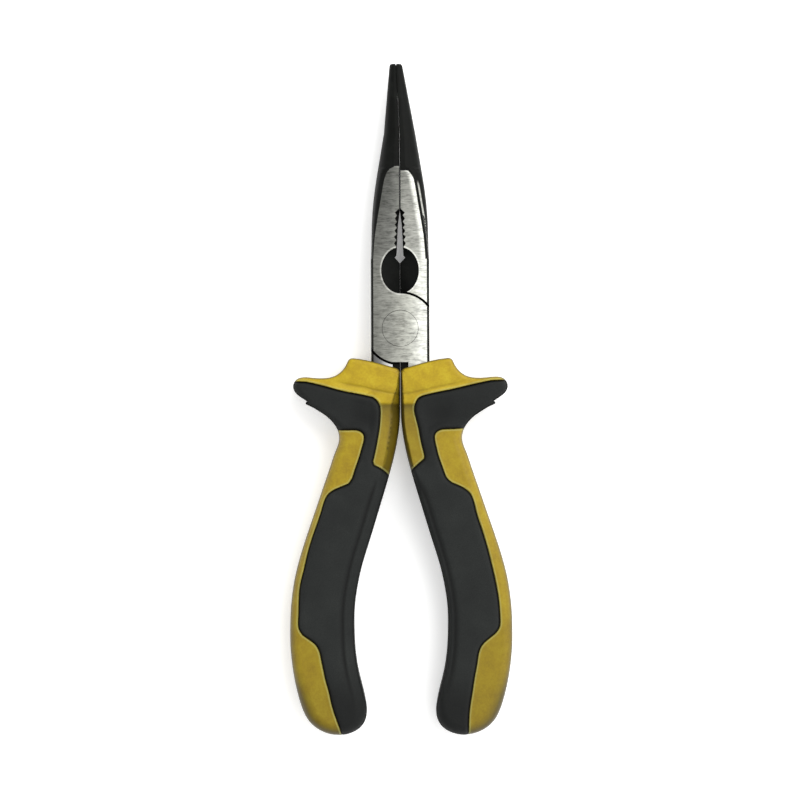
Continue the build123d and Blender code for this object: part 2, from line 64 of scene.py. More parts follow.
# plan of one grip, (distance from the middle, height over the pivot)
COLLAR_TOP = [(0.12, -12.15), (4.0, -11.02), (8.24, -9.88), (11.82, -9.14), (15.3, -8.72)]
GUARD = [
    (15.3, -8.72), (16.0, -10.6), (17.4, -12.6), (19.4, -14.05), (22.0, -14.7), (25.2, -14.68), (28.2, -14.42),
    (30.3, -14.75), (31.5, -15.8), (31.9, -17.3), (31.3, -18.9), (29.8, -20.25), (27.7, -21.6),
]
BAR = [
    (28.6, -22.35), (26.6, -23.15), (24.3, -24.5), (22.4, -25.75), (20.85, -27.1), (19.4, -28.9), (18.5, -31.0), (18.35, -33.2),
    (19.49, -36.67), (21.13, -41.43), (22.77, -46.19), (24.40, -50.95), (26.04, -55.72), (27.68, -60.48),
    (29.25, -65.24), (30.65, -70.0), (31.75, -74.76), (32.48, -79.52), (32.91, -84.29), (33.06, -89.05),
    (33.04, -93.81), (32.68, -98.57), (32.02, -103.33), (31.05, -108.1), (29.75, -112.6), (27.8, -116.6),
    (24.2, -119.7), (19.6, -121.0), (15.0, -120.3), (11.9, -118.3), (10.45, -115.3), (10.6, -111.6), (11.5, -107.4),
    (12.6, -103.0), (13.4, -98.57), (13.85, -93.81), (14.0, -89.05),
    (13.95, -84.29), (13.45, -79.52), (12.6, -74.76), (11.45, -70.0), (10.0, -65.24), (8.5, -60.48), (7.05, -55.72),
    (5.6, -50.95), (4.15, -46.19), (2.8, -41.43), (1.62, -36.67), (0.74, -31.9), (0.22, -27.5), (0.13, -23.0),
]
# plan of the soft black overmould, one run after another; the two sides of each grip are not quite alike
SEAMS_LEFT = {
    "edge": [(34.5, -15.8), (30.0, -15.75), (27.9, -15.86), (23.0, -17.0), (17.77, -18.45), (10.2, -20.0), (8.2, -20.5)],
    "strip": [(8.2, -20.5), (6.75, -21.8), (6.1, -24.0), (6.1, -26.5), (6.3, -29.0), (6.85, -32.6), (7.65, -36.67), (8.3, -39.5)],
    "cross": [(8.3, -39.5), (8.0, -40.6), (5.2, -42.17), (3.48, -43.8), (0.6, -46.4)],
    "end": [(17.3, -124.0), (17.9, -120.0), (18.9, -117.0), (20.1, -113.5), (20.9, -110.5), (21.55, -107.5), (22.4, -104.5),
            (23.05, -101.5), (23.65, -98.6), (24.25, -95.9), (25.3, -93.9), (27.2, -92.3), (29.2, -90.9)],
    "outer": [(29.2, -90.9), (30.25, -89.2), (30.45, -86.0), (30.3, -80.5), (29.85, -76.0), (28.85, -71.8), (27.4, -65.8),
              (25.5, -59.9), (23.45, -53.9), (22.5, -50.9), (21.5, -49.2), (18.8, -47.5), (15.6, -46.2)],
    "window": [(15.6, -46.2), (14.55, -44.8), (13.75, -42.6), (12.75, -39.7), (12.05, -37.6), (11.4, -35.3), (10.85, -33.2),
               (11.0, -31.5), (12.3, -30.4), (15.0, -30.12), (20.5, -30.1)],
}
SEAMS_RIGHT = {
    "edge": [(34.5, -15.4), (30.0, -15.45), (26.8, -15.6), (22.9, -16.4), (15.1, -18.2), (9.2, -19.4), (6.9, -19.95)],
    "strip": [(6.9, -19.95), (5.3, -20.8), (4.5, -22.1), (4.2, -23.7), (4.3, -25.2), (4.7, -26.8), (5.15, -28.6), (5.6, -30.7),
              (6.0, -33.1), (6.55, -35.5), (7.1, -37.8)],
    "cross": [(7.1, -37.8), (7.0, -38.8), (5.0, -40.5), (3.4, -42.0), (0.6, -44.4)],
    "end": [(19.8, -124.0), (19.85, -119.5), (19.9, -116.0), (20.1, -113.5), (20.5, -110.5), (21.0, -107.5), (21.45, -104.5),
            (22.0, -101.5), (22.5, -98.6), (23.0, -95.9), (24.0, -93.9), (25.8, -92.2), (27.7, -90.7)],
    "outer": [(27.7, -90.7), (28.9, -89.1), (29.25, -86.0), (28.85, -80.5), (28.1, -76.0), (27.2, -71.8), (25.75, -65.8),
              (24.0, -59.9), (22.15, -53.9), (21.4, -50.9), (20.6, -49.2), (18.3, -47.3), (15.2, -45.9)],
    "window": [(15.2, -45.9), (13.7, -44.6), (12.7, -42.4), (11.75, -39.7), (11.05, -37.6), (10.5, -35.3), (10.05, -33.2),
               (10.2, -31.4), (11.4, -30.3), (14.0, -29.9), (20.5, -29.6)],
}


# ------------------------------------------------------------------ plane curves
def natural_spline(points, step):
    """Points along a natural cubic spline through the given points, about one step apart."""
    p = np.array(points, float)
    t = np.concatenate([[0], np.cumsum(np.hypot(*np.diff(p, axis=0).T))])
    n = len(p)
    h = np.diff(t)
    a = np.zeros((n, n))
    r = np.zeros((n, 2))
    a[0, 0] = a[-1, -1] = 1
    for i in range(1, n - 1):
        a[i, i - 1], a[i, i], a[i, i + 1] = h[i - 1], 2 * (h[i - 1] + h[i]), h[i]
        r[i] = 3 * ((p[i + 1] - p[i]) / h[i] - (p[i] - p[i - 1]) / h[i - 1])
    c = np.linalg.solve(a, r)
    s = np.linspace(0, t[-1], max(3, int(round(t[-1] / step)) + 1))
    k = np.clip(np.searchsorted(t, s, side="right") - 1, 0, n - 2)
    u = (s - t[k])[:, None]
    hk = h[k][:, None]
    b = (p[k + 1] - p[k]) / hk - hk * (2 * c[k] + c[k + 1]) / 3
    d = (c[k + 1] - c[k]) / (3 * hk)
    return p[k] + b * u + c[k] * u**2 + d * u**3


def straight(points, step):
    out = []
    for a, b in zip(points, points[1:]):
        a, b = np.array(a, float), np.array(b, float)
        n = max(1, int(round(np.hypot(*(b - a)) / step)))
        out += [a + (b - a) * i / n for i in range(n)]
    out.append(np.array(points[-1], float))
    return np.array(out)


def join(*runs):
    """One closed ring from runs that share their ends."""
    ring = []
    for run in runs:
        for q in run:
            if not ring or np.hypot(*(q - ring[-1])) > 1e-4:
                ring.append(q)
    if np.hypot(*(ring[0] - ring[-1])) < 1e-4:
        ring.pop()
    return np.array(ring)


def round_corners(ring, radius_at):
    """Softens the named corners of a closed ring by pulling nearby points towards their neighbours."""
    ring = ring.copy()
    for (cx, cy), reach in radius_at:
        for _ in range(12):
            d = np.hypot(ring[:, 0] - cx, ring[:, 1] - cy)
            w = np.clip(1 - d / reach, 0, 1)[:, None] * 0.5
            mean = (np.roll(ring, 1, 0) + np.roll(ring, -1, 0)) / 2
            ring = ring * (1 - w) + mean * w
    return ring


def distance(points, ring, closed=True):
    """Distance to a polyline, the index of the nearest segment and the place along it."""
    a = ring
    b = np.roll(ring, -1, 0) if closed else ring[1:]
    if not closed:
        a = ring[:-1]
    ab = b - a
    ll = np.maximum((ab**2).sum(1), 1e-12)
    best = np.full(len(points), 1e9)
    idx = np.zeros(len(points), int)
    par = np.zeros(len(points))
    for s in range(0, len(points), 2000):
        q = points[s:s + 2000]
        ap = q[:, None, :] - a[None]
        t = np.clip((ap * ab[None]).sum(2) / ll[None], 0, 1)
        dd = np.hypot(ap[:, :, 0] - t * ab[None, :, 0], ap[:, :, 1] - t * ab[None, :, 1])
        k = dd.argmin(1)
        r = np.arange(len(q))
        best[s:s + 2000], idx[s:s + 2000], par[s:s + 2000] = dd[r, k], k, t[r, k]
    return best, idx, par


def inside(points, ring):
    x, y = points[:, 0], points[:, 1]
    res = np.zeros(len(points), bool)
    j = len(ring) - 1
    for i in range(len(ring)):
        xi, yi = ring[i]
        xj, yj = ring[j]
        if yi != yj:
            hit = ((yi > y) != (yj > y)) & (x < (xj - xi) * (y - yi) / (yj - yi) + xi)
            res ^= hit
        j = i
    return res


def smoothstep(e0, e1, x):
    t = np.clip((x - e0) / (e1 - e0), 0, 1)
    return t * t * (3 - 2 * t)


# ------------------------------------------------------------------ grip plan: rings, mesh points, triangles
STEP = 0.42
outline = join(
    natural_spline(COLLAR_TOP, STEP), natural_spline(GUARD, STEP), straight([GUARD[-1], BAR[0]], STEP),
    natural_spline(BAR, STEP), straight([BAR[-1], COLLAR_TOP[0]], STEP),
)
outline = round_corners(outline, [((15.3, -8.72), 1.5), ((0.12, -12.15), 1.2), ((28.6, -22.35), 0.7)])


def seam_ring(q):
    """Closed outline of the soft overmould."""
    return join(
        straight(q["edge"][:3], STEP), natural_spline(q["edge"][2:], STEP), natural_spline(q["strip"], STEP),
        straight(q["cross"][:2], STEP), natural_spline(q["cross"][1:], STEP),
        straight([q["cross"][-1], (-0.5, -60.0), (4.0, -90.0), (4.0, -124.0), q["end"][0]], 2.0),
        natural_spline(q["end"], STEP), natural_spline(q["outer"], STEP), natural_spline(q["window"], STEP),
        straight([q["window"][-1], (31.0, -25.6), (34.5, -23.5), q["edge"][0]], 2.0),
    )


# the rings are drawn clockwise; the inner side is on the right of the path
n_out = len(outline)
tang = np.roll(outline, -1, 0) - np.roll(outline, 1, 0)
tang /= np.hypot(*tang.T)[:, None]
inward = np.stack([tang[:, 1], -tang[:, 0]], 1)
if not inside(outline[200:201] + inward[200:201] * 0.5, outline)[0]:
    inward = -inward

arc_y = outline[:, 1]
near_inner = (outline[:, 0] < 15.0) & (arc_y < -20.0) & (arc_y > -112.0)
# which stretch of the rim each outline point is in
i_bar0 = int(np.argmin(np.hypot(outline[:, 0] - BAR[0][0], outline[:, 1] - BAR[0][1])))
i_end = int(np.argmin(np.hypot(outline[:, 0] - 19.6, outline[:, 1] + 121.0)))
idx_all = np.arange(n_out)
on_inner = idx_all > i_end
on_bar = idx_all >= i_bar0

RIM_H = np.full(n_out, 1.25)          # width of the rounding, across
RIM_V = np.full(n_out, 1.35)          # depth of the rounding, down
guard_tip = np.exp(-((outline[:, 0] - 31.5) ** 2 + (arc_y + 17.0) ** 2) / 16.0)
RIM_H += 0.9 * guard_tip
RIM_V += 1.2 * guard_tip
outer = on_bar & ~on_inner
grow = smoothstep(-24.0, -33.0, arc_y)
RIM_H[outer] = (1.3 + 1.3 * grow + 1.4 * smoothstep(-96.0, -114.0, arc_y))[outer]
RIM_V[outer] = (1.4 + 2.0 * grow + 1.0 * smoothstep(-96.0, -114.0, arc_y))[outer]


# width of the inner facet from the collar down to the end, on the two sides of the grip
FACET_Y = [-121.0, -52.0, -46.0, -41.0, -34.0, -26.0, -22.3, -20.0, -17.3, -14.5, -12.0]
FACET_WIDE = [3.3, 3.3, 3.0, 2.6, 2.95, 2.9, 2.7, 2.0, 1.05, 0.7, 0.5]
FACET_NARROW = [1.75, 1.75, 1.5, 1.15, 1.1, 1.0, 0.9, 0.75, 0.6, 0.5, 0.45]


def inner_rim(table):
    """Width and depth of the inner rim: an even facet from the crease to the side."""
    h, v = RIM_H.copy(), RIM_V.copy()
    end = smoothstep(-108.0, -117.0, arc_y)
    deep = smoothstep(-52.0, -42.0, arc_y)
    w = smoothstep(-11.5, -20.5, arc_y)
    width = np.interp(arc_y, FACET_Y, table)
    h[on_inner] = (width * (1 - end) + 3.6 * end)[on_inner]
    v[on_inner] = ((1.0 + (2.1 + 1.5 * deep) * w) * (1 - end) + 3.8 * end)[on_inner]
    # even out the run across the end of the handle
    low = on_bar & (arc_y < -60.0)
    for _ in range(40):
        h[low] = (0.5 * h + 0.25 * (np.roll(h, 1) + np.roll(h, -1)))[low]
        v[low] = (0.5 * v + 0.25 * (np.roll(v, 1) + np.roll(v, -1)))[low]
    return h, v


rim_wide, rim_narrow = inner_rim(FACET_WIDE), inner_rim(FACET_NARROW)
CELL = 0.25


def grip_plan(region):
    """Triangles over the plan of one grip that follow its outline and its colour seam."""
    loose, taken = [], {}

    def remember(points):
        for x, y in points:
            taken.setdefault((int(math.floor(x / CELL)), int(math.floor(y / CELL))), []).append((x, y))

    def offer(points, gap):
        """Adds points that keep clear of those already taken."""
        reach = int(math.ceil(gap / CELL))
        for x, y in points:
            ci, cj = int(math.floor(x / CELL)), int(math.floor(y / CELL))
            near = (q for i in range(ci - reach, ci + reach + 1) for j in range(cj - reach, cj + reach + 1) for q in taken.get((i, j), ()))
            if all((qx - x) ** 2 + (qy - y) ** 2 >= gap * gap for qx, qy in near):
                taken.setdefault((ci, cj), []).append((x, y))
                loose.append((x, y))

    remember(outline)
    remember(region)
    # rings just inside the rim, spaced so that the rounding is smooth
    for rim in (rim_wide, rim_narrow):
        for phi in (14, 28, 42, 56, 72, 90):
            f = 1 - math.cos(math.radians(phi))
            pts = outline + inward * (rim[0] * f)[:, None]
            d, _, _ = distance(pts, outline)
            ds, _, _ = distance(pts, region)
            keep = (d > 0.93 * rim[0] * f) & inside(pts, outline) & (ds > 0.07)
            offer(pts[keep], 0.13 if phi < 50 else 0.2)
    for extra in (0.25, 0.5, 0.85):
        for rim in (rim_wide, rim_narrow):
            pts = outline + inward * (rim[0] + extra)[:, None]
            d, _, _ = distance(pts, outline)
            keep = (d > 0.93 * (rim[0] + extra)) & inside(pts, outline)
            offer(pts[keep], 0.2)
    # rings on both sides of the colour seam
    rt = np.roll(region, -1, 0) - np.roll(region, 1, 0)
    rt /= np.hypot(*rt.T)[:, None]
    rn = np.stack([rt[:, 1], -rt[:, 0]], 1)
    for off in (0.12, 0.26, 0.45, 0.7, 1.0):
        for s in (-1, 1):
            pts = region + rn * off * s
            ds, _, _ = distance(pts, region)
            keep = inside(pts, outline) & (ds > 0.93 * off)
            d, _, _ = distance(pts, outline)
            keep &= d > 0.1
            offer(pts[keep], 0.105 if off < 0.3 else 0.2)
    # a finer field over the ledge of the collar, an even field elsewhere
    fx, fy = np.meshgrid(np.arange(0.4, 18.0, 0.3), np.arange(-24.0, -15.5, 0.24))
    fine = np.column_stack([fx.ravel(), fy.ravel()])
    fine = fine[inside(fine, outline)]
    d, _, _ = distance(fine, outline)
    offer(fine[d > 0.25], 0.2)
    gx = np.arange(-1, 35, 0.62)
    gy = np.arange(-122, -8, 0.54)
    grid = np.array([(x + (0.31 if k % 2 else 0.0), y) for k, y in enumerate(gy) for x in gx])
    grid = grid[inside(grid, outline)]
    d, _, _ = distance(grid, outline)
    offer(grid[d > 0.3], 0.36)

    coords = [Vector((float(x), float(y))) for x, y in np.concatenate([outline, region])] + [Vector(p) for p in loose]
    n_reg = len(region)
    edges = [(i, (i + 1) % n_out) for i in range(n_out)] + [(n_out + i, n_out + (i + 1) % n_reg) for i in range(n_reg)]
    plan_v, _, plan_f, _, _, _ = delaunay_2d_cdt(coords, edges, [], 0, 1e-5)
    plan_v = np.array([(v.x, v.y) for v in plan_v])
    tri = np.array([f for f in plan_f if len(f) == 3])
    mid = plan_v[tri].mean(1)
    keep = inside(mid, outline)
    tri, mid = tri[keep], mid[keep]
    ab, ac = plan_v[tri[:, 1]] - plan_v[tri[:, 0]], plan_v[tri[:, 2]] - plan_v[tri[:, 0]]
    turned = ab[:, 0] * ac[:, 1] - ab[:, 1] * ac[:, 0] < 0
    tri[turned] = tri[turned][:, ::-1]
    return plan_v, tri, inside(mid, region)


# ------------------------------------------------------------------ height of the grip's surface over the middle plane
LEDGE_X = [0.3, 1.0, 3.8, 8.0, 11.0, 16.4, 19.8, 24.0]
LEDGE_Y = [-19.7, -19.4, -19.05, -18.1, -17.35, -16.35, -15.3, -14.9]
STEP_Y = -22.1


def surface(plan_v, region, rim, is_soft):
    """Half thickness at every plan point, for the soft or the hard side of the seam, and the painted light on its
    colour: positive values paint shade, negative ones paint a highlight.
    """
    h_rim, v_rim = rim
    x, y = plan_v[:, 0], plan_v[:, 1]
    d, k, t = distance(plan_v, outline)
    k2 = (k + 1) % n_out
    rh = h_rim[k] * (1 - t) + h_rim[k2] * t
    rv = v_rim[k] * (1 - t) + v_rim[k2] * t
    ds, _, _ = distance(plan_v, region)
    inner = on_inner[k] | on_inner[k2]
    wide = rim is rim_wide
    mottle_and_painted_light = np.zeros(len(plan_v))
    low_end = smoothstep(-100.0, -113.0, y)
    if is_soft:
        base = np.full(len(plan_v), 6.98)
        hollow = np.exp(-(((x - 11.5) / 5.5) ** 2 + ((y + 26.5) / 4.6) ** 2))
        base -= 0.95 * hollow * smoothstep(0.3, 3.0, ds)
        base -= 0.22 * (1 - smoothstep(0, 1.5, ds))
        # painted shade: darker in the hollow, towards the lower end and over the upper end of the panel
        mottle_and_painted_light += 0.30 * hollow
        mottle_and_painted_light += 0.55 * low_end
        mottle_and_painted_light += 0.22 * smoothstep(-44.0, -36.0, y)
    else:
        # collar block, a crease, a band a little lower and a step down to the strip along the handle
        below = np.interp(x, LEDGE_X, LEDGE_Y) - y
        band = smoothstep(21.0, 15.0, x)
        past = smoothstep(STEP_Y + 0.3, STEP_Y - 1.1, y)
        near = smoothstep(9.5, 8.0, x)
        base = 7.0 - 0.16 * smoothstep(-0.3, 0.5, below) * band
        base = base - 0.92 * past * near + 0.42 * smoothstep(-24.0, -42.0, y) * near
        base = np.where(x > 9.5, np.where(y < -26.0, 6.4, base), base)
        base -= 0.22 * np.exp(-(((below - 0.05) / 0.3) ** 2)) * band
        # painted shade in the ledge crease and just above it, a painted highlight on the band below it, painted shadow
        # on the strip under the step, and painted shade on the windows, along the rims and towards the lower end
        mottle_and_painted_light += 0.20 * np.exp(-(((below - 0.05) / 0.32) ** 2)) * band
        mottle_and_painted_light += 0.07 * np.exp(-(((below + 0.6) / 0.8) ** 2)) * band
        mottle_and_painted_light -= 0.10 * smoothstep(0.35, 0.9, below) * (1 - past) * band * smoothstep(-26.0, -25.0, y)
        mottle_and_painted_light += near * past * (0.36 + 0.38 * np.exp(-np.maximum(STEP_Y - 0.4 - y, 0) / 3.4))
        mottle_and_painted_light += 0.06 * np.exp(-(((y - STEP_Y + 0.45) / 0.5) ** 2)) * near
        mottle_and_painted_light += np.where(x > 9.5, 0.27 * smoothstep(-25.0, -29.0, y), 0) + 0.06 * smoothstep(-60.0, -100.0, y)
        mottle_and_painted_light += 0.34 * low_end * (1 - smoothstep(0.3, 4.5, d)) + 0.06 * low_end
        mottle_and_painted_light += 0.26 * (1 - smoothstep(0.0, 2.2, d)) * smoothstep(-40.0, -80.0, y)
        mottle_and_painted_light += 0.10 * smoothstep(-80.0, -90.0, y)
    # crowned slightly across the handle
    crown = smoothstep(0.0, 9.0, d)
    base -= 0.14 * (1 - crown)
    # rim rounding
    u = np.clip(1 - d / np.maximum(rh, 1e-6), 0, 1)
    drop = rv * (1 - np.sqrt(np.clip(1 - u**2, 0, 1)))
    # the inner facet: a straight fall from the crease, then a tight round to the side
    run = inner & (y > -116.0)
    steep = 1.25 if wide else 2.2
    fall_max = np.minimum(3.3, steep * rh) * smoothstep(-52.0, -42.0, y) + 1.15 * (1 - smoothstep(-52.0, -42.0, y))
    in_facet = np.clip((rh - d) / np.maximum(rh, 1e-6), 0, 1)
    ut = np.clip(1 - d / np.minimum(1.0, 0.5 * rh), 0, 1)
    facet = fall_max * in_facet + np.maximum(rv - fall_max, 0.3) * (1 - np.sqrt(np.clip(1 - ut**2, 0, 1)))
    w = np.where(run, smoothstep(-11.0, -15.0, y) * (1 - smoothstep(-104.0, -114.0, y)), 0)
    drop = drop * (1 - w) + facet * w
    if is_soft:
        # soft valley along the crease of the panel
        along = smoothstep(-43.0, -49.0, y) * (1 - smoothstep(-99.0, -113.0, y))
        q = d - rh - 0.1
        valley = np.where(inner, np.exp(-((q / np.where(q > 0, 0.8, 0.4)) ** 2)) * along, 0)
        base -= 0.42 * valley
        # painted shade in the valley and on the facet beyond it
        mottle_and_painted_light += 0.72 * valley
        mottle_and_painted_light += 0.12 * np.where(run, along * smoothstep(0.25, 0.5, in_facet), 0)
    else:
        # on the inner facet the other painted shade is halved and the painted highlight dropped; then painted shade
        # down the facet and along its crease
        mottle_and_painted_light = np.where(run, np.maximum(mottle_and_painted_light, 0) * (1 - 0.5 * smoothstep(0.0, 0.2, in_facet)), mottle_and_painted_light)
        mottle_and_painted_light += np.where(run, w * smoothstep(-0.04, 0.16, in_facet) * (0.62 if wide else 0.70), 0)
        mottle_and_painted_light += np.where(inner, w * 0.16 * np.exp(-(((d - rh + 0.15) / 0.4) ** 2)), 0)
    # groove at the colour seam, with a lip on the hard side
    if is_soft:
        groove = 0.65 * np.exp(-((ds / 0.34) ** 2))
    else:
        groove = 0.46 * np.exp(-((ds / 0.17) ** 2)) - 0.12 * np.exp(-(((ds - 0.46) / 0.22) ** 2))
    return np.maximum(base - drop - groove, 1.2), d, ds, np.clip(mottle_and_painted_light, -0.5, 0.9)


plans, heights = {}, {}
for side, seams in ((-1, SEAMS_LEFT), (1, SEAMS_RIGHT)):
    ring = seam_ring(seams)
    plans[side] = grip_plan(ring)
    for name, rim in (("wide", rim_wide), ("narrow", rim_narrow)):
        for is_soft in (False, True):
            heights[side, name, is_soft] = surface(plans[side][0], ring, rim, is_soft)


def grip_mesh(name, side, is_soft):
    """Closed mesh of one colour of one grip. The wide facet is on top on the left grip and below on the right one."""
    up, down = ("wide", "narrow") if side < 0 else ("narrow", "wide")
    plan_v, tri, soft = plans[side]
    zu, d, ds, painted_light_top = heights[side, up, is_soft]
    zd, _, _, painted_light_bottom = heights[side, down, is_soft]
    faces = tri[soft == is_soft]
    used = np.unique(faces)
    remap = -np.ones(len(plan_v), int)
    remap[used] = np.arange(len(used))
    m = len(used)
    f = remap[faces]
    pts = plan_v[used]
    top = np.column_stack([pts, zu[used]])
    bottom = np.column_stack([pts, -zd[used]])
    verts = [tuple(v) for v in np.concatenate([top, bottom])]
    out_faces = [tuple(q) for q in f] + [(q[2] + m, q[1] + m, q[0] + m) for q in f]
    # walls along the open border, in levels so that they shade evenly
    count = {}
    for a, b, c in f:
        for e in ((a, b), (b, c), (c, a)):
            count[e] = count.get(e, 0) + 1
    border = [e for e in count if (e[1], e[0]) not in count]
    d_used = d[used]
    cols = {}
    levels = (0.80, 0.45, 0.0, -0.45, -0.80)

    def column(i):
        if i not in cols:
            col = [i]
            zt, zb = zu[used[i]], zd[used[i]]
            for lv in levels:
                z = zt * lv if lv > 0 else (zb * lv if lv < 0 else 0.0)
                cols_xy = pts[i]
                verts.append((cols_xy[0], cols_xy[1], z))
                col.append(len(verts) - 1)
            col.append(i + m)
            cols[i] = col
        return cols[i]

    for a, b in border:
        ca, cb = column(a), column(b)
        for j in range(len(ca) - 1):
            out_faces.append((ca[j], ca[j + 1], cb[j + 1], cb[j]))
    world = [((side * x + PX) / 1000, (y + PY) / 1000, (z + PZ) / 1000) for x, y, z in verts]
    if side < 0:
        out_faces = [tuple(reversed(q)) for q in out_faces]
    mesh = bpy.data.meshes.new(name)
    mesh.from_pydata(world, [], [tuple(int(i) for i in q) for q in out_faces])
    seam = mesh.attributes.new("seam_mm", "FLOAT", "POINT")
    rim_at = mesh.attributes.new("rim_mm", "FLOAT", "POINT")
    ds_u = ds[used]
    rest = len(verts) - 2 * m
    full_ds = np.concatenate([ds_u, ds_u, np.zeros(rest)])
    full_d = np.concatenate([d_used, d_used, np.full(rest, 2.0)])
    # painted light per point: the top and bottom faces carry their own, the wall levels between carry half the mean of
    # the two
    painted_light_all = np.concatenate([painted_light_top[used], painted_light_bottom[used], np.zeros(rest)])
    for i, col in cols.items():
        for j in col[1:-1]:
            full_ds[j] = ds_u[i]
            painted_light_all[j] = (painted_light_top[used[i]] + painted_light_bottom[used[i]]) * 0.25
    # the painted light goes to the materials as a point attribute
    mottle_and_painted_light = mesh.attributes.new("mottle_and_painted_light", "FLOAT", "POINT")
    mottle_and_painted_light.data.foreach_set("value", painted_light_all.astype(np.float32))
    seam.data.foreach_set("value", full_ds.astype(np.float32))
    rim_at.data.foreach_set("value", full_d.astype(np.float32))
    bm = bmesh.new()
    bm.from_mesh(mesh)
    bmesh.ops.recalc_face_normals(bm, faces=bm.faces)
    bm.to_mesh(mesh)
    bm.free()
    mesh.validate()
    mesh.update()
    for poly in mesh.polygons:
        poly.use_smooth = True
    mesh.set_sharp_from_angle(angle=math.radians(48))
    obj = bpy.data.objects.new(name, mesh)
    bpy.context.scene.collection.objects.link(obj)
    return obj


# ------------------------------------------------------------------ materials
class Nodes:
    def __init__(self, name):
        self.mat = bpy.data.materials.new(name)
        self.mat.use_nodes = True
        self.tree = self.mat.node_tree
        self.tree.nodes.clear()
        self.out = self.add("ShaderNodeOutputMaterial")

    def add(self, kind, **props):
        node = self.tree.nodes.new(kind)
        for k, v in props.items():
            setattr(node, k, v)
        return node

    def link(self, a, b):
        self.tree.links.new(a, b)

    def value(self, node, name, v):
        node.inputs[name].default_value = v

    def math(self, op, a, b=None, clamp=False):
        node = self.add("ShaderNodeMath", operation=op, use_clamp=clamp)
        for i, q in enumerate((a, b)):
            if q is None:
                continue
            if isinstance(q, (int, float)):
                node.inputs[i].default_value = q
            else:
                self.link(q, node.inputs[i])
        return node.outputs[0]

    def noise(self, vector, scale, detail=4.0, rough=0.5, dims=(1, 1, 1)):
        mp = self.add("ShaderNodeMapping")
        mp.inputs["Scale"].default_value = dims
        self.link(vector, mp.inputs["Vector"])
        n = self.add("ShaderNodeTexNoise")
        n.inputs["Scale"].default_value = scale
        n.inputs["Detail"].default_value = detail
        n.inputs["Roughness"].default_value = rough
        self.link(mp.outputs[0], n.inputs["Vector"])
        return n.outputs["Fac"]

    def ramp(self, fac, stops):
        r = self.add("ShaderNodeValToRGB")
        el = r.color_ramp.elements
        while len(el) < len(stops):
            el.new(0.5)
        for e, (pos, col) in zip(el, stops):
            e.position = pos
            e.color = (*col, 1) if len(col) == 3 else col
        self.link(fac, r.inputs["Fac"])
        return r.outputs["Color"]

    def mix(self, fac, a, b):
        m = self.add("ShaderNodeMix", data_type="RGBA")
        for key, q in ((0, fac), (6, a), (7, b)):
            if isinstance(q, (int, float)):
                m.inputs[key].default_value = q
            elif isinstance(q, tuple):
                m.inputs[key].default_value = (*q, 1)
            else:
                self.link(q, m.inputs[key])
        return m.outputs[2]

    def mixf(self, fac, a, b):
        m = self.add("ShaderNodeMix", data_type="FLOAT")
        for key, q in ((0, fac), (2, a), (3, b)):
            if isinstance(q, (int, float)):
                m.inputs[key].default_value = q
            else:
                self.link(q, m.inputs[key])
        return m.outputs[0]

    def span(self, value, from_min, from_max, to_min, to_max):
        """Smooth step between two bounds."""
        m = self.add("ShaderNodeMapRange", interpolation_type="SMOOTHSTEP")
        self.link(value, m.inputs["Value"])
        for key, v in (("From Min", from_min), ("From Max", from_max), ("To Min", to_min), ("To Max", to_max)):
            m.inputs[key].default_value = v
        return m.outputs[0]

    def times(self, a, b):
        m = self.add("ShaderNodeVectorMath", operation="MULTIPLY")
        self.link(a, m.inputs[0])
        self.link(b, m.inputs[1])
        return m.outputs[0]

    def scale(self, a, k):
        m = self.add("ShaderNodeVectorMath", operation="SCALE")
        self.link(a, m.inputs[0])
        m.inputs["Scale"].default_value = k
        return m.outputs[0]

    def bump(self, height, strength, dist, normal=None):
        b = self.add("ShaderNodeBump")
        b.inputs["Strength"].default_value = strength
        b.inputs["Distance"].default_value = dist
        self.link(height, b.inputs["Height"])
        if normal is not None:
            self.link(normal, b.inputs["Normal"])
        return b.outputs["Normal"]


def srgb(r, g, b):
    def f(c):
        c = c / 255
        return c / 12.92 if c <= 0.04045 else ((c + 0.055) / 1.055) ** 2.4
    return (f(r), f(g), f(b))


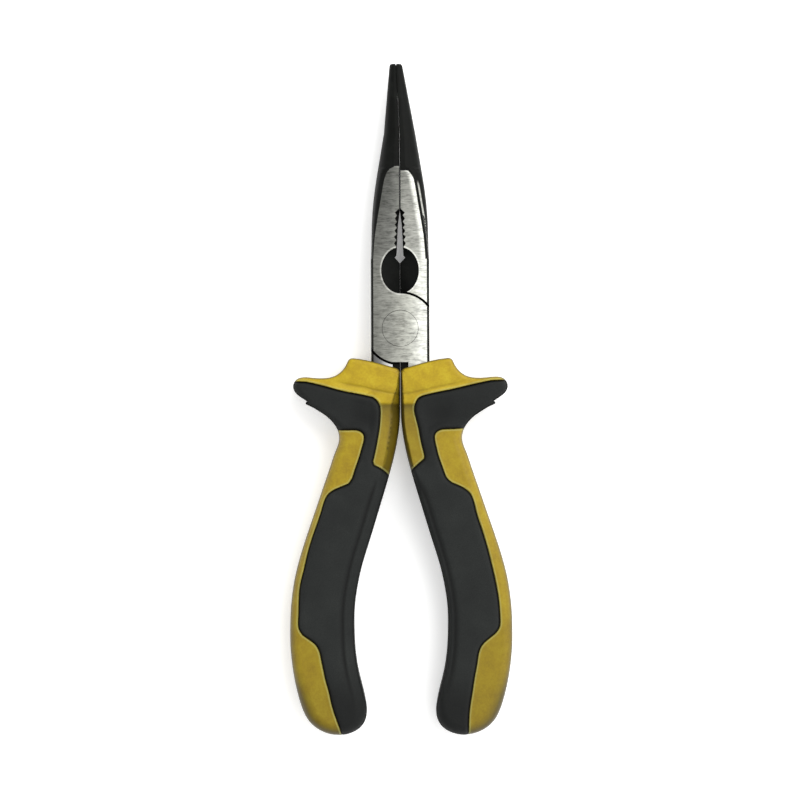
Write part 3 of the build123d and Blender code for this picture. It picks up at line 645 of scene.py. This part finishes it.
def steel_material(name, oxide=True):
    """Cross-ground bright faces in the planes of the head, black oxide on everything else."""
    n = Nodes(name)
    tc = n.add("ShaderNodeTexCoord")
    obj, nor = tc.outputs["Object"], tc.outputs["Normal"]
    sep = n.add("ShaderNodeSeparateXYZ")
    n.link(obj, sep.inputs[0])
    sn = n.add("ShaderNodeSeparateXYZ")
    n.link(nor, sn.inputs[0])
    zr = n.math("SUBTRACT", sep.outputs["Z"], PZ / 1000)
    zc = n.math("ABSOLUTE", zr)
    nz = n.math("ABSOLUTE", sn.outputs["Z"])
    xr = n.math("MULTIPLY", sep.outputs["X"], 1000.0)
    yr = n.math("SUBTRACT", n.math("MULTIPLY", sep.outputs["Y"], 1000.0), PY)
    # across the face as seen from either side, so that front and back are turned copies of each other
    u = n.math("MULTIPLY", xr, n.math("SIGN", zr))
    jaw_side = n.math("GREATER_THAN", u, 0.0)
    high = n.math("GREATER_THAN", zc, (HEAD_T - 0.02) / 1000)
    face = n.math("MULTIPLY", high, n.math("GREATER_THAN", nz, 0.985))
    # the ground area ends in an arch, a little lower on the bevelled side
    past = n.math("MAXIMUM", n.math("SUBTRACT", u, 1.9), 0.0)
    arch = n.math("SUBTRACT", 46.85, n.math("MULTIPLY", n.math("MULTIPLY", past, past), 0.50))
    top = n.math("ADD", n.math("MULTIPLY", jaw_side, n.math("SUBTRACT", arch, 48.6)), 48.6)
    face = n.math("MULTIPLY", face, n.math("LESS_THAN", yr, top))
    rr = n.math("SQRT", n.math("ADD", n.math("POWER", xr, 2.0), n.math("POWER", yr, 2.0)))
    lap = n.math("MULTIPLY", n.math("LESS_THAN", zc, 0.0004), n.math("GREATER_THAN", nz, 0.985))
    lap = n.math("MULTIPLY", lap, n.math("LESS_THAN", rr, 10.2))
    # crosswise grinding: short scratches along X, fine along Y, over cloudy patches
    streak = n.noise(obj, 1.0, 4.0, 0.65, (620, 4200, 60))
    coarse = n.noise(obj, 1.0, 4.0, 0.6, (260, 1500, 60))
    cloud = n.noise(obj, 380.0, 4.0, 0.62, (1, 1.5, 1))
    mottle_and_painted_light = n.math("ADD", n.math("MULTIPLY", streak, 0.42), n.math("ADD", n.math("MULTIPLY", coarse, 0.28), n.math("MULTIPLY", cloud, 0.30)))
    texture = n.ramp(mottle_and_painted_light, [(0.37, (0.42, 0.42, 0.42)), (0.50, (1.0, 1.0, 1.0)), (0.63, (1.42, 1.42, 1.42))])
    # painted light on the faces: grey on one side, a painted bright band along the other, set by the half-width of the
    # flat at each height
    wide = n.ramp(n.math("DIVIDE", n.math("SUBTRACT", yr, 20.0), 30.0),
                  [(0.0, (0.80,) * 3), (0.133, (0.775,) * 3), (0.253, (0.742,) * 3), (0.373, (0.685,) * 3), (0.493, (0.625,) * 3),
                   (0.61, (0.565,) * 3), (0.73, (0.506,) * 3), (0.807, (0.46,) * 3), (0.873, (0.39,) * 3), (0.933, (0.17,) * 3)])
    rim_gap = n.math("SUBTRACT", n.math("MULTIPLY", wide, 10.0), u)
    # narrow ground bevel beside the flat of each jaw, parted from it by a dark line; it is drawn on the +u side only
    # and dimmed, a painted highlight where that side faces the light
    ground_bevel_and_highlight = n.math("MULTIPLY", n.span(rim_gap, -0.34, -0.48, 0.0, 1.0), n.span(rim_gap, -1.0, -0.78, 0.0, 1.0))
    ground_bevel_and_highlight = n.math("MULTIPLY", ground_bevel_and_highlight, n.math("MULTIPLY", n.span(yr, 20.6, 25.0, 0.0, 0.62), n.span(yr, 44.2, 42.0, 0.0, 1.0)))
    ground_bevel_and_highlight = n.math("MULTIPLY", ground_bevel_and_highlight, n.math("GREATER_THAN", nz, 0.6))
    jaws = n.span(yr, 12.0, 26.0, 0.0, 1.0)
    # painted light: the ground faces are graded from dark on one side to bright on the other, and the upper jaws are
    # painted darker, the one on the -u side most
    head_painted_light = n.ramp(n.span(u, -8.0, 8.0, 0.0, 1.0),
                       [(0.0, HEAD_PAINTED_LIGHT[0]), (0.25, HEAD_PAINTED_LIGHT[1]), (0.5, HEAD_PAINTED_LIGHT[2]), (0.75, HEAD_PAINTED_LIGHT[3]), (1.0, HEAD_PAINTED_LIGHT[4])])
    jaw_painted_light = n.ramp(n.span(u, -8.0, 8.0, 0.0, 1.0),
                      [(0.0, JAW_PAINTED_LIGHT[0]), (0.25, JAW_PAINTED_LIGHT[1]), (0.5, JAW_PAINTED_LIGHT[2]), (0.75, JAW_PAINTED_LIGHT[3]), (1.0, JAW_PAINTED_LIGHT[4])])
    upper_jaw_painted_shade = n.mix(jaw_side, n.scale(jaw_painted_light, 0.56), n.scale(jaw_painted_light, 0.70))
    jaw_painted_light = n.mix(n.span(yr, 26.0, 44.0, 0.0, 1.0), n.scale(jaw_painted_light, 0.90), upper_jaw_painted_shade)
    lit = n.mix(jaws, head_painted_light, jaw_painted_light)
    # painted highlight band along the edge of the flat on the jaws
    painted_highlight_band = n.math("MULTIPLY", n.span(rim_gap, 2.3, 1.0, 0.0, 1.0), jaws)
    lit = n.mix(painted_highlight_band, lit, PAINTED_HIGHLIGHT_TONE)
    # painted highlight along the lip of the oval window, where a small chamfer would catch the light
    ring = n.math("SQRT", n.math("ADD", n.math("POWER", n.math("DIVIDE", xr, 5.6), 2.0),
                                 n.math("POWER", n.math("DIVIDE", n.math("SUBTRACT", yr, 17.24), 6.88), 2.0)))
    painted_oval_highlight = n.math("MULTIPLY", n.span(ring, 1.10, 1.03, 0.0, 1.0), n.span(ring, 0.985, 1.01, 0.0, 1.0))
    lit = n.mix(n.math("MULTIPLY", painted_oval_highlight, 0.75), lit, PAINTED_HIGHLIGHT_TONE)
    bright = n.times(lit, texture)
    # the root of the other half's tang sits a little lower and stays as forged
    root = n.math("MULTIPLY", n.math("MULTIPLY", n.math("GREATER_THAN", rr, 10.6), n.math("LESS_THAN", yr, -4.0)),
                  n.math("SUBTRACT", 1.0, jaw_side))
    smooth = n.ramp(n.span(n.math("ABSOLUTE", xr), 8.7, 3.0, 0.0, 1.0), [(0.0, (0.13,) * 3), (0.5, (0.28,) * 3), (0.8, (0.55,) * 3), (1.0, (0.8,) * 3)])
    bright = n.mix(root, bright, smooth)
    grain = n.noise(obj, 2600.0, 5.0, 0.6)
    patch = n.noise(obj, 240.0, 4.0, 0.55)
    black = n.ramp(n.math("ADD", n.math("MULTIPLY", grain, 0.45), n.math("MULTIPLY", patch, 0.55)),
                   [(0.32, (0.0020, 0.0023, 0.0020)), (0.55, (0.0050, 0.0056, 0.0049)), (0.72, (0.011, 0.0118, 0.0105))])
    machined = n.ramp(streak, [(0.3, (0.06, 0.06, 0.058)), (0.7, (0.15, 0.147, 0.14))])
    col = n.mix(lap, black, machined) if oxide else black
    ground = n.math("MAXIMUM", face, ground_bevel_and_highlight)
    col = n.mix(ground, col, bright)
    rough = n.mixf(ground, n.mixf(lap, n.mixf(patch, 0.42, 0.58), 0.38), n.mixf(coarse, 0.30, 0.42))
    height = n.mixf(ground, n.math("MULTIPLY", grain, 0.5), n.math("ADD", streak, n.math("MULTIPLY", coarse, 0.6)))
    b = n.add("ShaderNodeBsdfPrincipled")
    n.link(col, b.inputs["Base Color"])
    n.link(rough, b.inputs["Roughness"])
    n.link(n.mixf(n.math("MAXIMUM", ground, lap), 0.0, 0.95), b.inputs["Metallic"])
    b.inputs["Specular IOR Level"].default_value = 0.08
    bumped = n.bump(height, 0.30, 0.00006)
    # the faces are ground by hand and crown slightly towards the edges
    comb = n.add("ShaderNodeCombineXYZ")
    n.link(n.math("MULTIPLY", n.math("MULTIPLY", xr, CROWN), face), comb.inputs["X"])
    vt = n.add("ShaderNodeVectorTransform", vector_type="VECTOR", convert_from="OBJECT", convert_to="WORLD")
    n.link(comb.outputs[0], vt.inputs[0])
    va = n.add("ShaderNodeVectorMath", operation="ADD")
    n.link(bumped, va.inputs[0])
    n.link(vt.outputs[0], va.inputs[1])
    vn = n.add("ShaderNodeVectorMath", operation="NORMALIZE")
    n.link(va.outputs[0], vn.inputs[0])
    n.link(vn.outputs[0], b.inputs["Normal"])
    n.link(b.outputs[0], n.out.inputs["Surface"])
    return n.mat


def yellow_material():
    n = Nodes("grip_hard_yellow")
    tc = n.add("ShaderNodeTexCoord")
    obj = tc.outputs["Object"]
    seam = n.add("ShaderNodeAttribute", attribute_name="seam_mm").outputs["Fac"]
    rim = n.add("ShaderNodeAttribute", attribute_name="rim_mm").outputs["Fac"]
    painted_light_attr = n.add("ShaderNodeAttribute", attribute_name="mottle_and_painted_light").outputs["Fac"]
    cloud = n.noise(obj, 260.0, 4.0, 0.6)
    fine = n.noise(obj, 1700.0, 4.0, 0.6)
    mottle_and_painted_light = n.math("ADD", n.math("MULTIPLY", cloud, 0.6), n.math("MULTIPLY", fine, 0.4))
    base = n.ramp(mottle_and_painted_light, [(0.34, (0.330, 0.215, 0.0020)), (0.52, (0.405, 0.280, 0.0030)), (0.68, (0.465, 0.350, 0.0100))])
    # painted light from the grip attribute: positive values mix in a dark painted shade colour, negative ones a pale
    # painted highlight colour
    down = n.math("MAXIMUM", painted_light_attr, 0.0)
    painted_highlight_amount = n.math("MAXIMUM", n.math("MULTIPLY", painted_light_attr, -1.0), 0.0)
    base = n.mix(down, base, (0.036, 0.026, 0.0015))
    base = n.mix(painted_highlight_amount, base, (0.80, 0.68, 0.10))
    # painted highlight along the lip on the yellow side of the seam
    painted_lip_highlight = n.ramp(seam, [(0.0, (0, 0, 0)), (0.10, (0, 0, 0)), (0.24, (1, 1, 1)), (0.46, (1, 1, 1)), (0.78, (0, 0, 0))])
    base = n.mix(n.math("MULTIPLY", painted_lip_highlight, 0.42), base, (0.38, 0.39, 0.13))
    # painted shade in the groove at the colour seam
    groove_shade_hard = n.ramp(seam, [(0.0, (1, 1, 1)), (0.07, (1, 1, 1)), (0.18, (0, 0, 0))])
    base = n.mix(n.math("MULTIPLY", groove_shade_hard, 0.9), base, (0.012, 0.009, 0.002))
    # painted shade darkening the rim towards the silhouette
    edge = n.ramp(rim, [(0.0, (1, 1, 1)), (0.16, (0.85, 0.85, 0.85)), (0.5, (0, 0, 0))])
    base = n.mix(n.math("MULTIPLY", edge, 0.8), base, (0.035, 0.025, 0.003))
    b = n.add("ShaderNodeBsdfPrincipled")
    n.link(base, b.inputs["Base Color"])
    n.link(n.mixf(cloud, 0.44, 0.58), b.inputs["Roughness"])
    b.inputs["Specular IOR Level"].default_value = 0.32
    peel = n.noise(obj, 620.0, 3.0, 0.5)
    n.link(n.bump(n.math("ADD", peel, n.math("MULTIPLY", fine, 0.35)), 0.22, 0.00012), b.inputs["Normal"])
    n.link(b.outputs[0], n.out.inputs["Surface"])
    return n.mat


def rubber_material():
    n = Nodes("grip_soft_black")
    tc = n.add("ShaderNodeTexCoord")
    obj = tc.outputs["Object"]
    seam = n.add("ShaderNodeAttribute", attribute_name="seam_mm").outputs["Fac"]
    rim = n.add("ShaderNodeAttribute", attribute_name="rim_mm").outputs["Fac"]
    painted_light_attr = n.add("ShaderNodeAttribute", attribute_name="mottle_and_painted_light").outputs["Fac"]
    grain = n.noise(obj, 3300.0, 4.0, 0.65)
    cloud = n.noise(obj, 110.0, 4.0, 0.55)
    mottle_and_painted_light = n.math("ADD", n.math("MULTIPLY", grain, 0.55), n.math("MULTIPLY", cloud, 0.45))
    base = n.ramp(mottle_and_painted_light, [(0.32, (0.0080, 0.0092, 0.0092)), (0.5, (0.0128, 0.0146, 0.0140)), (0.7, (0.0210, 0.0232, 0.0220))])
    # painted light from the grip attribute: positive values mix in a painted shade colour, negative ones a painted
    # highlight colour
    down = n.math("MAXIMUM", painted_light_attr, 0.0)
    painted_highlight_amount = n.math("MAXIMUM", n.math("MULTIPLY", painted_light_attr, -1.0), 0.0)
    base = n.mix(down, base, (0.0008, 0.0009, 0.0009))
    base = n.mix(painted_highlight_amount, base, (0.06, 0.065, 0.06))
    # painted shade in the groove at the colour seam
    groove_shade_soft = n.ramp(seam, [(0.0, (1, 1, 1)), (0.28, (1, 1, 1)), (0.55, (0, 0, 0))])
    base = n.mix(n.math("MULTIPLY", groove_shade_soft, 0.95), base, (0.0004, 0.0004, 0.0004))
    # painted shade darkening the rim towards the silhouette; the same mask also lowers the specular there
    edge = n.ramp(rim, [(0.0, (1, 1, 1)), (0.22, (0.9, 0.9, 0.9)), (0.55, (0, 0, 0))])
    base = n.mix(n.math("MULTIPLY", edge, 0.9), base, (0.0005, 0.0005, 0.0005))
    b = n.add("ShaderNodeBsdfPrincipled")
    n.link(base, b.inputs["Base Color"])
    n.link(n.mixf(cloud, 0.60, 0.76), b.inputs["Roughness"])
    n.link(n.mixf(edge, 0.2, 0.02), b.inputs["Specular IOR Level"])
    n.link(n.bump(grain, 0.5, 0.00014), b.inputs["Normal"])
    n.link(b.outputs[0], n.out.inputs["Surface"])
    return n.mat


CROWN = 0.013         # tilt of the ground faces, per millimetre from the middle
# colour stops of the painted light across the ground faces, from the -u side to the +u side
HEAD_PAINTED_LIGHT = [(0.27, 0.272, 0.248), (0.32, 0.323, 0.293), (0.38, 0.383, 0.345), (0.46, 0.465, 0.42), (0.64, 0.645, 0.60)]
JAW_PAINTED_LIGHT = [(0.19, 0.192, 0.177), (0.215, 0.218, 0.202), (0.33, 0.333, 0.305), (0.33, 0.333, 0.305), (0.33, 0.333, 0.305)]
PAINTED_HIGHLIGHT_TONE = (0.66, 0.665, 0.62)
STEEL = steel_material("steel_ground_and_oxide")
RIVET = steel_material("rivet_ground", oxide=False)
YELLOW = yellow_material()
RUBBER = rubber_material()


def dress(node, material):
    """Gives a carried-over CAD node its material."""
    obj = bpy.data.objects[node]
    obj.data.materials.clear()
    obj.data.materials.append(material)
    return obj


for node in ("jaw_half_front", "jaw_half_rear"):
    dress(node, STEEL)
dress("pivot_rivet", RIVET)
for node in ("grip_core_left", "grip_core_right"):
    dress(node, YELLOW)
for node in ("grip_overmould_left", "grip_overmould_right"):
    dress(node, RUBBER)

for side, word, body in ((-1, "left", "rear_half"), (1, "right", "front_half")):
    for is_soft, kind, slot, material in ((False, "core", "grip_hard", YELLOW), (True, "overmould", "grip_soft", RUBBER)):
        piece = grip_mesh("visual_%s_%s" % (kind, word), side, is_soft)
        piece.data.materials.append(material)
        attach(piece, body)
        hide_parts("grip_%s_%s" % (kind, word))

# ------------------------------------------------------------------ floor, light, camera
floor_mat = Nodes("floor_pale")
fb = floor_mat.add("ShaderNodeBsdfPrincipled")
ftc = floor_mat.add("ShaderNodeTexCoord")
fcol = floor_mat.ramp(floor_mat.noise(ftc.outputs["Object"], 30.0, 3.0, 0.5), [(0.3, (0.93, 0.93, 0.93)), (0.7, (0.95, 0.95, 0.95))])
floor_mat.link(fcol, fb.inputs["Base Color"])
fb.inputs["Roughness"].default_value = 0.9
fb.inputs["Specular IOR Level"].default_value = 0.1
fb.inputs["Emission Color"].default_value = (1, 1, 1, 1)
fsep = floor_mat.add("ShaderNodeSeparateXYZ")
floor_mat.link(ftc.outputs["Object"], fsep.inputs[0])
# painted shadow on the floor: less glow below the head and the collars, where the floor shows only through slots
floor_shadow_across = floor_mat.span(floor_mat.math("ABSOLUTE", fsep.outputs["X"]), 0.002, 0.0065, 0.17, 0.34)
low = floor_mat.span(fsep.outputs["Y"], -0.007, 0.001, 0.34, 0.17)
floor_shadow_tip = floor_mat.span(fsep.outputs["Y"], 0.056, 0.066, 0.17, 0.34)
floor_mat.link(floor_mat.math("MAXIMUM", floor_shadow_across, floor_mat.math("MAXIMUM", low, floor_shadow_tip)), fb.inputs["Emission Strength"])
floor_mat.link(fb.outputs[0], floor_mat.out.inputs["Surface"])
fm = bpy.data.meshes.new("floor")
z0 = cad_bounds[0][2]
R = 2.5
fm.from_pydata([(-R, -R, z0), (R, -R, z0), (R, R, z0), (-R, R, z0)], [], [(0, 1, 2, 3)])
floor = bpy.data.objects.new("floor", fm)
floor.data.materials.append(floor_mat.mat)
bpy.context.scene.collection.objects.link(floor)

scene = bpy.context.scene
world = bpy.data.worlds.new("studio")
world.use_nodes = True
wt = world.node_tree
w_tc = wt.nodes.new("ShaderNodeTexCoord")
w_sep = wt.nodes.new("ShaderNodeSeparateXYZ")
wt.links.new(w_tc.outputs["Generated"], w_sep.inputs[0])
w_ramp = wt.nodes.new("ShaderNodeMapRange")
w_ramp.interpolation_type = "SMOOTHSTEP"
wt.links.new(w_sep.outputs["X"], w_ramp.inputs["Value"])
for key, v in (("From Min", -0.42), ("From Max", 0.38), ("To Min", 0.34), ("To Max", 1.42)):
    w_ramp.inputs[key].default_value = v
wt.links.new(w_ramp.outputs[0], wt.nodes["Background"].inputs["Strength"])
wt.nodes["Background"].inputs["Color"].default_value = (1, 1, 0.985, 1)
scene.world = world


def area(name, loc, target, size, power):
    light = bpy.data.lights.new(name, "AREA")
    light.shape = "RECTANGLE"
    light.size, light.size_y = size
    light.energy = power
    obj = bpy.data.objects.new(name, light)
    obj.location = loc
    obj.rotation_euler = (Vector(target) - Vector(loc)).to_track_quat("-Z", "Y").to_euler()
    scene.collection.objects.link(obj)
    return obj


area("key", (0.36, 0.40, 0.70), (0.0, 0.02, 0.0), (0.6, 0.6), 3.4)
area("fill", (-0.75, 0.05, 0.55), (0.0, 0.0, 0.0), (0.7, 0.9), 3.0)

LENS, SENSOR = 120.0, 36.0
PX_MM = 0.29762
view_mm = 800 * PX_MM * 1.004
dist = view_mm / SENSOR * LENS / 1000 + PZ / 1000
cam_data = bpy.data.cameras.new("camera")
cam_data.lens = LENS
cam_data.sensor_width = SENSOR
cam_data.clip_end = 20
cam = bpy.data.objects.new("camera", cam_data)
scene.collection.objects.link(cam)
cx = (PX - 0.14) / 1000
cy = (PY - 71.2 * PX_MM - 0.1) / 1000
cam.location = (cx, cy, dist)
cam.rotation_euler = (0, 0, math.radians(-0.2))
scene.camera = cam
scene.view_settings.view_transform = "Standard"
scene.view_settings.look = "None"
scene.view_settings.exposure = 0.0
